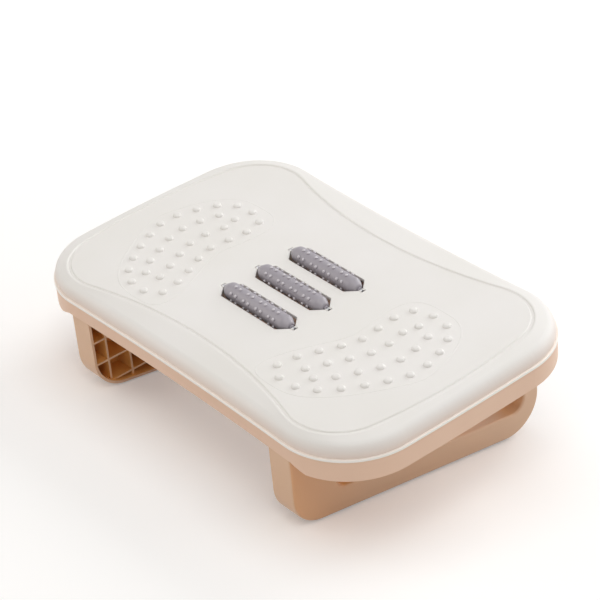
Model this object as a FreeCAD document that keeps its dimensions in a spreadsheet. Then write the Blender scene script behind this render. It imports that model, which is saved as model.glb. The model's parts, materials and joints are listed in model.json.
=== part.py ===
import FreeCAD, Part
import math
import os
import re
import Sketcher

# Under-desk footrest: a platform with three massage rollers that tilts on two side legs.
# Units are millimetres and degrees. +X is the sitter's right, +Y is away from the sitter, +Z is up.
# The origin is on the floor, under the middle of the object.
# The platform's own frame has its origin in the middle of the seam between cover and tray:
# x along the platform, v across it towards the back, w square to it. At rest that frame is
# turned by tilt_angle about X, and the legs are drawn in it too, because their faces are square to it.

DOC = FreeCAD.newDocument("footrest")
SHEET = DOC.addObject("Spreadsheet::Sheet", "Sheet")

# Each row is an alias, its content and what it measures.
SIZES = [
    ("tilt_angle", "10", "slope of the platform at rest"),
    ("seam_height", "113.3", "seam above the floor at the platform's centre"),
    ("centre_shift", "-9.27", "platform centre from the origin, along Y"),
    ("half_length", "225", "half of the platform's length, at mid depth"),
    ("half_depth", "140", "half of the platform's depth, at mid length"),
    ("side_radius", "4500", "radius of the hollowed front and back edges"),
    ("end_radius", "4200", "radius of the bulged ends"),
    ("corner_radius", "71", "platform corner radius in plan"),
    ("cover_height", "17", "top of the cover above the seam"),
    ("crown_drop", "4", "fall of the cover's crown from panel to shoulder"),
    ("shoulder_radius", "10", "rounded shoulder of the cover"),
    ("edge_step", "2", "how far the cover's foot stands out as a lip"),
    ("edge_height", "2.2", "height of the cover's lip"),
    ("edge_round_top", "0.9", "rounded top of the cover's lip"),
    ("cover_wall", "2.5", "cover side wall"),
    ("cover_top", "3", "cover top wall"),
    ("rim_pocket", "6", "depth of the hollow under the shoulder"),
    ("rim_land", "24", "inset of the middle hollow under the crown"),
    ("crown_wall", "2", "how far the middle hollow ends under the crown's foot"),
    ("panel_half_length", "210.4", "flat panel, half length"),
    ("panel_half_depth", "107.2", "flat panel, half depth at the waist"),
    ("panel_side_radius", "481.7", "flat panel, radius of the waist"),
    ("panel_end_radius", "526.3", "flat panel, radius of the ends"),
    ("panel_corner_radius", "53", "flat panel, corner radius"),
    ("panel_front", "-2.8", "middle of the flat panel along v"),
    ("panel_land", "7", "inset of the deep hollow under the panel"),
    ("groove_land", "2.2", "from the edge of the flat panel to the groove"),
    ("groove_width", "2.2", "width of the panel groove at its bottom"),
    ("groove_cut", "1.1", "depth of the panel groove"),
    ("groove_slope", "0.9", "chamfered sides of the panel groove"),
    ("stud_radius", "4", "massage stud, foot radius"),
    ("stud_rise", "2.6", "massage stud, height above the panel"),
    ("stud_round", "2.5", "massage stud, rounding of the top"),
    ("field_middle", "142.8", "stud field, where the two lines of its bent axis cross, along x"),
    ("field_knee", "-15.9", "stud field, where those lines cross, along v"),
    ("field_turn", "0.135", "stud field, mean lean of the two lines"),
    ("field_spread", "0.382", "stud field, half of the difference of their leans"),
    ("field_soft", "11", "stud field, how softly the axis bends at the crossing"),
    ("field_back", "23.9", "stud field, its centre in front of the platform's centre"),
    ("outer_half_length", "74.6", "outer stud ring, half length"),
    ("outer_half_width", "34.4", "outer stud ring, half width"),
    ("outer_square", "3.2", "outer stud ring, exponent of its oval"),
    ("outer_start", "23.3", "outer stud ring, first stud along the ring"),
    ("outer_count", "20", "studs in the outer ring"),
    ("inner_half_length", "55.6", "inner stud ring, half length"),
    ("inner_half_width", "11.9", "inner stud ring, half width"),
    ("inner_square", "8", "inner stud ring, exponent of its oval"),
    ("inner_start", "32", "inner stud ring, first stud along the ring"),
    ("inner_count", "14", "studs in the inner ring"),
    ("roller_middle", "-3.9", "middle roller from the platform's centre, along v"),
    ("roller_pitch", "39.2", "distance between roller axes"),
    ("roller_axis", "16", "roller axis above the seam"),
    ("roller_radius", "8.1", "roller barrel radius"),
    ("roller_half_length", "44.4", "half of the roller's length, without its necks"),
    ("barrel_half_length", "38", "half of the cylindrical barrel"),
    ("roller_tip_radius", "4.2", "radius of the roller's end face"),
    ("roller_end_round", "6", "rounding where barrel meets taper"),
    ("roller_tip_round", "1.8", "rounding where taper meets end face"),
    ("neck_radius", "2.3", "radius of the roller's necks"),
    ("neck_length", "2", "length of the roller's necks"),
    ("nub_radius", "1.5", "roller nub radius"),
    ("nub_rise", "1.6", "roller nub height"),
    ("nub_round", "1.2", "rounding of the nub's top"),
    ("nub_pitch", "17.3", "distance between pairs of nubs"),
    ("nub_gap", "6.4", "distance between the nubs of a pair"),
    ("nub_rows", "7", "rows of nubs round a roller"),
    ("front_turn", "7", "how far the front roller has turned, degrees"),
    ("middle_turn", "-5", "how far the middle roller has turned, degrees"),
    ("rear_turn", "5", "how far the rear roller has turned, degrees"),
    ("fixed_fit", "0.05", "clearance of fixed round fits, on the radius"),
    ("running_fit", "0.08", "clearance of turning fits, on the radius"),
    ("axle_radius", "1.5", "roller axle radius"),
    ("axle_half_length", "49.2", "half of the roller axle's length"),
    ("slot_straight", "37.5", "half of the roller slot's straight sides"),
    ("slot_half_width", "12.4", "half of the slot's width"),
    ("slot_taper", "46.5", "where the slot's taper ends, from the middle"),
    ("slot_corner", "1", "rounded corners of the slot"),
    ("slot_edge", "0.5", "rounded upper edge of the slot"),
    ("notch_half_width", "2.8", "half width of the notch at each end of the slot"),
    ("notch_end", "50.6", "end of the notch from the middle"),
    ("cradle_inner", "46.6", "inner face of the roller cradle from the centre"),
    ("cradle_width", "2.8", "thickness of the roller cradle"),
    ("cradle_half_depth", "52", "half length of the roller cradle, along v"),
    ("cradle_foot", "10", "width of the cradle's foot flange"),
    ("cradle_foot_height", "13", "height of the cradle's foot flange"),
    ("cradle_gap", "0.3", "space between cradle and cover"),
    ("post_drop", "0.1", "top of the cradle's posts below the panel"),
    ("cradle_screw_v", "20", "cradle screws from the middle roller, along v"),
    ("tray_inset", "0.8", "tray wall inside the cover's lip"),
    ("tray_wall", "2.5", "tray wall and floor"),
    ("tray_depth", "14", "depth of the tray's front and back walls"),
    ("apron_drop", "6", "how much deeper the tray's end walls are"),
    ("apron_start", "156", "where the tray wall starts to deepen"),
    ("apron_full", "172", "where the tray wall is at full depth"),
    ("lip_gap", "0.3", "gap between the tray's locating lip and the cover"),
    ("lip_rise", "3", "height of the tray's locating lip, and of the seat under it"),
    ("lip_wall", "1.8", "thickness of the tray's locating lip"),
    ("boss_radius", "4.5", "screw boss radius"),
    ("screw_radius", "1.9", "screw shank radius"),
    ("screw_head_radius", "3.6", "screw head radius"),
    ("screw_head", "2", "screw head height"),
    ("cross_arm", "1.8", "half length of the cross recess's arms"),
    ("cross_half_width", "0.45", "half width of those arms"),
    ("cross_depth", "1.2", "depth of the cross recess"),
    ("screw_length", "14", "screw shank length under the head"),
    ("boss_far_x", "188", "outer cover screws along x"),
    ("boss_far_v", "88", "outer cover screws along v"),
    ("boss_near_x", "82", "inner cover screws along x"),
    ("boss_near_v", "118", "inner cover screws along v"),
    ("rib_wall", "2", "rib thickness"),
    ("tray_rib", "8", "tray rib height"),
    ("tray_frame_x", "146", "half length of the tray's rib frame"),
    ("tray_frame_v", "72", "half width of the tray's rib frame"),
    ("pivot_drop", "32", "pivot axis below the seam"),
    ("pivot_radius", "7", "pivot shaft radius"),
    ("bearing_inner", "98", "inner face of the pivot bearing from the centre"),
    ("bearing_width", "26", "length of the pivot bearing"),
    ("bearing_half_depth", "24", "half width of the pivot bearing, along v"),
    ("bearing_radius", "13", "outer radius of the pivot bearing's cap"),
    ("pivot_bush", "1.5", "wall of the pivot bush"),
    ("clamp_offset", "18", "clamp screws from the pivot axis, along v"),
    ("clamp_flange", "5", "thickness of the cap's flanges"),
    ("clamp_length", "16", "clamp screw shank length"),
    ("washer_radius", "13", "friction washer outer radius"),
    ("leg_inner", "127.5", "inner face of a leg from the centre"),
    ("leg_width", "26.5", "thickness of a leg, along x"),
    ("leg_front", "141", "leg's front face from the platform's centre"),
    ("leg_back", "144", "leg's back face from the platform's centre"),
    ("leg_gap", "0.4", "gap between leg and tray"),
    ("leg_wall", "2.5", "leg wall"),
    ("leg_corner", "35", "radius of the leg's bottom corners"),
    ("foot_height", "2", "rubber foot thickness"),
    ("rail_height", "25", "height of the leg's bottom rail"),
    ("window_front", "94", "front edge of the leg's window from the centre"),
    ("window_back", "126", "back edge of the leg's window from the centre"),
    ("window_head", "50", "top edge of the window below the seam"),
    ("window_corner", "13", "radius of the window's corners"),
    ("window_nose", "11", "radius of the window's front corners"),
    ("edge_round", "2.4", "rounded outer edges of the leg and its window"),
    ("rib_pitch", "24", "pitch of the leg's lattice ribs"),
    ("rib_phase", "125", "first upright rib in front of the centre"),
    ("rib_columns", "12", "upright ribs"),
    ("rib_rows", "5", "level ribs"),
    ("rib_first_row", "38", "first level rib below the seam"),
    ("rib_back", "3", "ribs lie this far inside the leg's inner face"),
    ("boss_wall", "5", "wall around the pivot shaft in the leg"),
    ("shaft_engage", "14.5", "depth of the pivot shaft in the leg"),
    ("recess_radius", "8", "radius of the recess for the pivot bolt's head"),
    ("pivot_bolt_radius", "3", "pivot end bolt shank radius"),
    ("pivot_bolt_length", "18", "pivot end bolt shank length"),
    ("pivot_bolt_head", "5", "pivot end bolt head height"),
    ("pivot_head_radius", "6", "pivot end bolt head radius"),
    ("end_web", "4", "leg web under the pivot bolt's head"),
    ("plug_flange", "9.5", "bolt cover flange radius"),
    ("plug_cap", "1.2", "bolt cover flange thickness"),
    ("plug_wall", "1.2", "bolt cover wall"),
    ("plug_depth", "2", "depth of the bolt cover in its recess"),
    ("tie_back", "70", "cross tie behind the centre"),
    ("tie_above", "13", "cross tie's axis above the leg's underside"),
    ("tie_radius", "8", "cross tie radius"),
    ("tie_wall", "1.5", "cross tie wall"),
    ("tie_socket", "12", "depth of the tie's socket in the leg"),
    ("tie_screw_in", "6", "tie screw from the tie's end"),
    ("tie_screw_length", "9", "tie screw shank length"),
    ("tie_recess", "0.5", "tie screw head below the leg's underside"),
    ("foot_front", "84", "front feet in front of the centre"),
    ("foot_back", "86", "back feet behind the centre"),
    ("foot_half_length", "17", "half of the foot's length"),
    ("foot_half_width", "9", "half of the foot's width"),
    ("foot_corner", "6", "foot corner radius"),
    ("stop_length", "16", "stop pad length"),
    ("stop_inset", "7", "stop pad inside both faces of the leg"),
    ("stop_sink", "1.6", "how deep a stop pad sits in the leg"),
    ("stop_front", "122", "front stop pads in front of the centre"),
    ("stop_back", "118", "back stop pads behind the centre"),
    ("stop_clear", "0.15", "space left at the back stop pad when the platform is level"),
    ("slope", "=tan(tilt_angle * 1deg)", "rise of the floor per mm, seen from the platform"),
    ("under_leg", "=(seam_height - foot_height) / cos(tilt_angle * 1deg)", "leg underside below the seam"),
    ("leg_outer", "=leg_inner + leg_width", "outer face of a leg"),
    ("leg_head", "=tray_depth + leg_gap", "leg top below the seam, front half"),
    ("leg_head_back", "=leg_head + leg_back * slope", "leg top below the seam, at the back"),
    ("leg_sole_front", "=under_leg - leg_front * slope", "leg underside below the seam, at the front"),
    ("leg_sole_back", "=under_leg + leg_back * slope", "leg underside below the seam, at the back"),
    ("sill_front", "=under_leg - rail_height - window_front * slope", "window sill below the seam, front"),
    ("sill_back", "=under_leg - rail_height + window_back * slope", "window sill below the seam, back"),
    ("tray_floor", "=tray_depth - tray_wall", "inside of the tray floor below the seam"),
    ("tie_drop", "=under_leg - tie_above + tie_back * slope", "cross tie below the seam"),
    ("tie_sole", "=under_leg + tie_back * slope", "leg underside below the seam, at the tie"),
    ("stop_front_far", "=stop_front + stop_length", "front end of the front stop pad"),
    ("stop_back_far", "=stop_back + stop_length", "back end of the back stop pad"),
    ("stop_near_head", "=leg_head + stop_back * slope", "leg top at the back pad's front end"),
    ("stop_far_head", "=leg_head + stop_back_far * slope", "leg top at the back pad's back end"),
    ("level_space", "=leg_gap + (pivot_drop - tray_depth) * (1 / cos(tilt_angle * 1deg) - 1)",
     "space over the back of the leg when the platform is level"),
    ("stop_back_rise", "=level_space - stop_clear", "back stop pad above the leg"),
    ("cradle_screw_x", "=cradle_inner + cradle_width + cradle_foot / 2", "cradle screws along x"),
    ("nub_one", "=nub_pitch / 2 - nub_gap / 2", "first nub of a row"),
    ("nub_two", "=nub_pitch / 2 + nub_gap / 2", "second nub of a row"),
    ("nub_three", "=nub_one + nub_pitch", "third nub of a row"),
    ("nub_four", "=nub_two + nub_pitch", "fourth nub of a row"),
    ("foot_front_y", "=centre_shift - foot_front * cos(tilt_angle * 1deg)"
     " + (under_leg - foot_front * slope) * sin(tilt_angle * 1deg)", "front feet along Y"),
    ("foot_back_y", "=centre_shift + foot_back * cos(tilt_angle * 1deg)"
     " + (under_leg + foot_back * slope) * sin(tilt_angle * 1deg)", "back feet along Y"),
    ("leg_middle", "=leg_inner + leg_width / 2", "middle of a leg, along x"),
    ("clamp_seat", "=pivot_drop + clamp_flange", "underside of the cap's flanges below the seam"),
    ("bearing_middle", "=bearing_inner + bearing_width / 2", "middle of the pivot bearing"),
]
for row, (alias, content, note) in enumerate(SIZES, start=1):
    SHEET.set("A%d" % row, note)
    SHEET.set("B%d" % row, content)
    SHEET.setAlias("B%d" % row, alias)
DOC.recompute()


def size(term):
    """Value of an alias, or of a sum such as half_length-cover_wall."""
    total = 0.0
    for sign, alias in re.findall(r"([+-]?)(\w+)", term):
        value = float(SHEET.get(alias))
        total += -value if sign == "-" else value
    return total


def cell(term):
    """The same term as an expression on the sheet."""
    return re.sub(r"([A-Za-z_]\w*)", r"Sheet.\1", term)


# Placement of the pieces

def place(obj, x=None, v=None, w=None):
    """Put an object in the platform's frame, with its own origin at x, v, w."""
    tilt = "(Sheet.tilt_angle * 1deg)"
    along = cell(v) if v else "0"
    above = cell(w) if w else "0"
    if x:
        obj.setExpression("Placement.Base.x", cell(x))
    obj.setExpression("Placement.Base.y", "Sheet.centre_shift + (%s) * cos%s - (%s) * sin%s"
                      % (along, tilt, above, tilt))
    obj.setExpression("Placement.Base.z", "Sheet.seam_height + (%s) * sin%s + (%s) * cos%s"
                      % (along, tilt, above, tilt))
    obj.Placement = FreeCAD.Placement(FreeCAD.Vector(0, 0, 0),
                                      FreeCAD.Rotation(FreeCAD.Vector(1, 0, 0), size("tilt_angle")))
    obj.setExpression("Placement.Rotation.Angle", "Sheet.tilt_angle")


def new_body(label):
    body = DOC.addObject("PartDesign::Body", label)
    body.Label = label
    body.AllowCompound = True
    return body


# Sketches

def sketch_on(body, role, name, offset=None):
    """A sketch on one of the body's own origin planes, moved along its normal by offset."""
    sketch = body.newObject("Sketcher::SketchObject", name)
    plane = [item for item in body.Origin.OriginFeatures if item.Role == role][0]
    sketch.AttachmentSupport = (plane, "")
    sketch.MapMode = "FlatFace"
    if offset:
        sketch.setExpression("AttachmentOffset.Base.z", cell(offset))
    return sketch


def bind(sketch, constraint, term):
    index = sketch.addConstraint(constraint)
    sketch.setExpression("Constraints[%d]" % index, cell(term))


def pin(sketch, geo, end, x_term, y_term):
    """Hold a point at x_term, y_term from the sketch origin. None means on that axis."""
    if x_term:
        bind(sketch, Sketcher.Constraint("DistanceX", -1, 1, geo, end, size(x_term)), x_term)
    else:
        sketch.addConstraint(Sketcher.Constraint("PointOnObject", geo, end, -2))
    if y_term:
        bind(sketch, Sketcher.Constraint("DistanceY", -1, 1, geo, end, size(y_term)), y_term)
    else:
        sketch.addConstraint(Sketcher.Constraint("PointOnObject", geo, end, -1))


def short_arc(centre, radius, first, last):
    """The shorter arc of a circle between two points on it, counter-clockwise."""
    starts = math.atan2(first.y - centre.y, first.x - centre.x)
    ends = math.atan2(last.y - centre.y, last.x - centre.x)
    if (ends - starts) % (2 * math.pi) > math.pi:
        starts, ends = ends, starts
    ring = Part.Circle(centre, FreeCAD.Vector(0, 0, 1), radius)
    return Part.ArcOfCircle(ring, starts, starts + (ends - starts) % (2 * math.pi))


def near_end(sketch, geo, point):
    """Which end of an arc, 1 or 2, lies at the point."""
    curve = sketch.Geometry[geo]
    to_start = curve.StartPoint.distanceToPoint(point)
    return 1 if to_start < curve.EndPoint.distanceToPoint(point) else 2


def polygon(sketch, points, rounds=None):
    """A closed outline through points given as pairs of terms, some corners rounded by a radius term."""
    rounds = rounds or {}
    corners = [FreeCAD.Vector(size(x) if x else 0, size(y) if y else 0, 0) for x, y in points]
    count = len(points)
    starts = list(corners)
    ends = [corners[(here + 1) % count] for here in range(count)]
    centres = {}
    for here, radius in rounds.items():
        back = (corners[here - 1] - corners[here]).normalize()
        ahead = (corners[(here + 1) % count] - corners[here]).normalize()
        half_angle = back.getAngle(ahead) / 2
        trim = size(radius) / math.tan(half_angle)
        ends[here - 1] = corners[here] + back * trim
        starts[here] = corners[here] + ahead * trim
        middle = (back + ahead).normalize() * (size(radius) / math.sin(half_angle))
        centres[here] = corners[here] + middle
    lines = [sketch.addGeometry(Part.LineSegment(starts[here], ends[here]), False)
             for here in range(count)]
    for here, (x, y) in enumerate(points):
        before = lines[here - 1]
        after = lines[here]
        if here not in rounds:
            sketch.addConstraint(Sketcher.Constraint("Coincident", before, 2, after, 1))
            pin(sketch, after, 1, x, y)
            continue
        radius = rounds[here]
        bend = short_arc(centres[here], size(radius), ends[here - 1], starts[here])
        arc = sketch.addGeometry(bend, False)
        corner = sketch.addGeometry(Part.Point(corners[here]), True)
        sketch.addConstraint([
            Sketcher.Constraint("PointOnObject", corner, 1, before),
            Sketcher.Constraint("PointOnObject", corner, 1, after),
            Sketcher.Constraint("Tangent", before, 2, arc, near_end(sketch, arc, ends[here - 1])),
            Sketcher.Constraint("Tangent", after, 1, arc, near_end(sketch, arc, starts[here]))])
        pin(sketch, corner, 1, x, y)
        bind(sketch, Sketcher.Constraint("Radius", arc, size(radius)), radius)


def rectangle(sketch, x_low, x_high, y_low, y_high):
    polygon(sketch, [(x_low, y_low), (x_high, y_low), (x_high, y_high), (x_low, y_high)])


def circle(sketch, radius, x_term=None, y_term=None):
    middle = FreeCAD.Vector(size(x_term) if x_term else 0, size(y_term) if y_term else 0, 0)
    geo = sketch.addGeometry(Part.Circle(middle, FreeCAD.Vector(0, 0, 1), size(radius)), False)
    pin(sketch, geo, 3, x_term, y_term)
    bind(sketch, Sketcher.Constraint("Radius", geo, size(radius)), radius)


def bowed_loop(sketch, outline, inset=None):
    """A rectangle with hollowed long sides, bulged ends and round corners, inset all round."""
    half_x, half_y, side, end, corner = outline
    more = "+" + inset if inset else ""
    less = more.replace("+", "-")
    side_r = side + more
    end_r = end + less
    corner_r = corner + less
    side_centre = half_y + "+" + side
    end_centre = half_x + "-" + end
    side_y = size(side_centre)
    end_x = size(end_centre)
    # The corner's centre lies outside the side's circle and inside the end's circle.
    from_side = size(side_r) + size(corner_r)
    from_end = size(end_r) - size(corner_r)
    gap = math.hypot(end_x, side_y)
    along = (from_side ** 2 - from_end ** 2 + gap ** 2) / (2 * gap)
    across = math.sqrt(from_side ** 2 - along ** 2)
    corner_x = (end_x * along + side_y * across) / gap
    corner_y = side_y - (side_y * along - end_x * across) / gap
    on_side_x = corner_x * size(side_r) / from_side
    on_side_y = side_y + (corner_y - side_y) * size(side_r) / from_side
    on_end_x = end_x + (corner_x - end_x) * size(end_r) / from_end
    on_end_y = corner_y * size(end_r) / from_end
    loop = []
    for turn, (sx, sy) in enumerate([(1, 1), (-1, 1), (-1, -1), (1, -1)]):
        middle = FreeCAD.Vector(sx * corner_x, sy * corner_y, 0)
        on_side = FreeCAD.Vector(sx * on_side_x, sy * on_side_y, 0)
        on_end = FreeCAD.Vector(sx * on_end_x, sy * on_end_y, 0)
        first, last = (on_end, on_side) if turn % 2 == 0 else (on_side, on_end)
        loop.append((corner_r, middle, first, last, None))
        if turn % 2 == 0:
            beyond = FreeCAD.Vector(0, sy * side_y, 0)
            mirrored = FreeCAD.Vector(-last.x, last.y, 0)
            signed = side_centre if sy > 0 else "-" + side_centre.replace("+", "-")
            loop.append((side_r, beyond, last, mirrored, (None, signed)))
        else:
            beyond = FreeCAD.Vector(sx * end_x, 0, 0)
            mirrored = FreeCAD.Vector(last.x, -last.y, 0)
            signed = end_centre if sx > 0 else end + "-" + half_x
            loop.append((end_r, beyond, last, mirrored, (signed, None)))
    geos = [sketch.addGeometry(short_arc(middle, size(radius), first, last), False)
            for radius, middle, first, last, _ in loop]
    joints = []
    for here, (_, _, _, last, _) in enumerate(loop):
        follower = geos[(here + 1) % len(geos)]
        finish = near_end(sketch, geos[here], last)
        start = near_end(sketch, follower, last)
        joints.append(Sketcher.Constraint("Tangent", geos[here], finish, follower, start))
    sketch.addConstraint(joints)
    for geo, (radius, _, _, _, centre) in zip(geos, loop):
        bind(sketch, Sketcher.Constraint("Radius", geo, size(radius)), radius)
        if centre:
            pin(sketch, geo, 3, *centre)


# Features

def pad(body, sketch, name, length, reverse=False, midplane=False):
    feature = body.newObject("PartDesign::Pad", name)
    feature.Profile = sketch
    feature.setExpression("Length", cell(length))
    feature.Reversed = reverse
    feature.Midplane = midplane
    return feature


def pocket(body, sketch, name, length=None, reverse=False, midplane=False):
    feature = body.newObject("PartDesign::Pocket", name)
    feature.Profile = sketch
    if length:
        feature.setExpression("Length", cell(length))
    else:
        feature.Type = "ThroughAll"
    feature.Reversed = reverse
    feature.Midplane = midplane
    return feature


def revolve(body, sketch, name, axis="H_Axis"):
    feature = body.newObject("PartDesign::Revolution", name)
    feature.Profile = sketch
    feature.ReferenceAxis = (sketch, [axis])
    feature.Angle = 360.0
    return feature


def round_edges(body, base, name, radius, test):
    """Fillet the edges of the base feature that pass the test."""
    feature = body.newObject("PartDesign::Fillet", name)
    feature.Base = (base, edges_of(base, test))
    feature.setExpression("Radius", cell(radius))
    return feature


def slope_edges(body, base, name, reach, test):
    """Chamfer the edges of the base feature that pass the test."""
    feature = body.newObject("PartDesign::Chamfer", name)
    feature.Base = (base, edges_of(base, test))
    feature.setExpression("Size", cell(reach))
    return feature


def edges_of(base, test):
    """Names of the edges of a feature that pass the test."""
    DOC.recompute()
    return ["Edge%d" % (number + 1) for number, edge in enumerate(base.Shape.Edges) if test(edge)]


def level_at(height):
    """Test for edges that lie in the plane w = height."""
    return lambda edge: (abs(edge.BoundBox.ZMin - height) < NEAR
                         and abs(edge.BoundBox.ZMax - height) < NEAR)


def row_of(body, feature, name, direction, step, count, reverse=False):
    """A straight row of a feature. The body's tip is set before the count."""
    row = body.newObject("PartDesign::LinearPattern", name)
    row.Originals = [feature]
    row.Direction = direction
    row.Reversed = reverse
    row.Mode = "Spacing"
    row.setExpression("Offset", cell(step))
    body.Tip = row
    row.setExpression("Occurrences", cell(count))
    return row


def mirror_feature(body, feature, name):
    """The same feature on the other side of the middle."""
    twin = body.newObject("PartDesign::Mirrored", name)
    twin.Originals = [feature]
    plane = [item for item in body.Origin.OriginFeatures if item.Role == "YZ_Plane"][0]
    twin.MirrorPlane = (plane, [""])
    body.Tip = twin
    return twin


def mirrored_piece(label, source):
    """The left-hand piece, as the mirror image of the right-hand one."""
    twin = DOC.addObject("Part::Mirroring", label)
    twin.Label = label
    twin.Source = source
    twin.Normal = FreeCAD.Vector(1, 0, 0)
    return twin


def rings(body, name, radii, offset, length, reverse=False, midplane=False, v=None, w=None):
    """A rod, or a tube with two radii, lying along x."""
    outline = sketch_on(body, "YZ_Plane", name + "_outline", offset)
    for radius in radii:
        circle(outline, radius, v, w)
    return pad(body, outline, name, length, reverse, midplane)


def bore_along(body, name, radius, offset, length=None, reverse=False, v=None, w=None):
    """A round hole along x, from offset inwards, or outwards if reversed."""
    outline = sketch_on(body, "YZ_Plane", name + "_outline", offset)
    circle(outline, radius, v, w)
    return pocket(body, outline, name, length, reverse)


PLATFORM = ("half_length", "half_depth", "side_radius", "end_radius", "corner_radius")
PANEL = ("panel_half_length", "panel_half_depth", "panel_side_radius", "panel_end_radius",
         "panel_corner_radius")
COVER_SCREWS = [(far_x, far_v) for far_x in ("boss_far_x", "-boss_far_x") for far_v in
                ("boss_far_v", "-boss_far_v")]
COVER_SCREWS += [(near_x, near_v) for near_x in ("boss_near_x", "-boss_near_x") for near_v in
                 ("boss_near_v", "-boss_near_v")]
CRADLE_SCREWS = [(x, "roller_middle" + v) for x in ("cradle_screw_x", "-cradle_screw_x") for v in
                 ("+cradle_screw_v", "-cradle_screw_v")]
CLAMP_SCREWS = [(x, v) for x in ("bearing_middle", "-bearing_middle") for v in
                ("clamp_offset", "-clamp_offset")]
SADDLE_SPANS = [("bearing_inner", "bearing_inner+bearing_width"),
                ("-bearing_inner-bearing_width", "-bearing_inner")]
ROLLERS = [("front", "roller_middle-roller_pitch"), ("middle", "roller_middle"),
           ("rear", "roller_middle+roller_pitch")]
NUBS = ["nub_one", "nub_two", "nub_three", "nub_four", "-nub_one", "-nub_two", "-nub_three",
        "-nub_four"]
NEAR = 0.01


# Cover

def field_axis(v):
    """The stud field's axis: two straight lines that meet in a soft bend, a hyperbola."""
    beyond = v - size("field_knee")
    lean = size("field_turn") * beyond - size("field_spread") * math.hypot(beyond, size("field_soft"))
    return size("field_middle") + lean


def stud_ring(side, ring):
    """Centres evenly spaced along an oval laid over the bent axis, one ring of a sole-shaped field."""
    steps = 720
    flatness = 2 / size(ring + "_square")
    outline = []
    for step in range(steps + 1):
        angle = 2 * math.pi * step / steps
        across = math.copysign(abs(math.cos(angle)) ** flatness, math.cos(angle))
        along = math.copysign(abs(math.sin(angle)) ** flatness, math.sin(angle))
        v = size(ring + "_half_length") * along - size("field_back")
        outline.append((side * (field_axis(v) + size(ring + "_half_width") * across), v))
    reach = [0.0]
    for before, after in zip(outline, outline[1:]):
        reach.append(reach[-1] + math.dist(before, after))
    number = int(size(ring + "_count"))
    centres = []
    for stud in range(number):
        goal = (size(ring + "_start") + reach[-1] * stud / number) % reach[-1]
        here = max(index for index, far in enumerate(reach[:-1]) if far <= goal)
        share = (goal - reach[here]) / (reach[here + 1] - reach[here])
        before, after = outline[here], outline[here + 1]
        centres.append([start + share * (end - start) for start, end in zip(before, after)])
    return centres


def slot_rim_edge(edge):
    """Edges of the roller slots in the panel's surface."""
    return (level_at(size("cover_height"))(edge)
            and edge.BoundBox.XMax < size("notch_end") + NEAR
            and edge.BoundBox.XMin > -size("notch_end") - NEAR
            and edge.BoundBox.YMax < size("roller_middle+roller_pitch+slot_half_width") + NEAR)


def sketch_on_panel(body, name, offset=None):
    """A sketch square to w, about the middle of the flat panel."""
    sketch = sketch_on(body, "XY_Plane", name, offset)
    sketch.setExpression("AttachmentOffset.Base.y", cell("panel_front"))
    return sketch


def groove_edge(edge):
    """Both edges of the groove in the panel's surface."""
    outer = "+groove_land"
    inner = "+groove_land+groove_width"
    radii = [size("panel_side_radius" + outer), size("panel_side_radius" + inner)]
    for inset in (outer, inner):
        less = inset.replace("+", "-")
        radii += [size("panel_end_radius" + less), size("panel_corner_radius" + less)]
    return (level_at(size("cover_height"))(edge) and isinstance(edge.Curve, Part.Circle)
            and any(abs(edge.Curve.Radius - radius) < NEAR for radius in radii))


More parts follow.
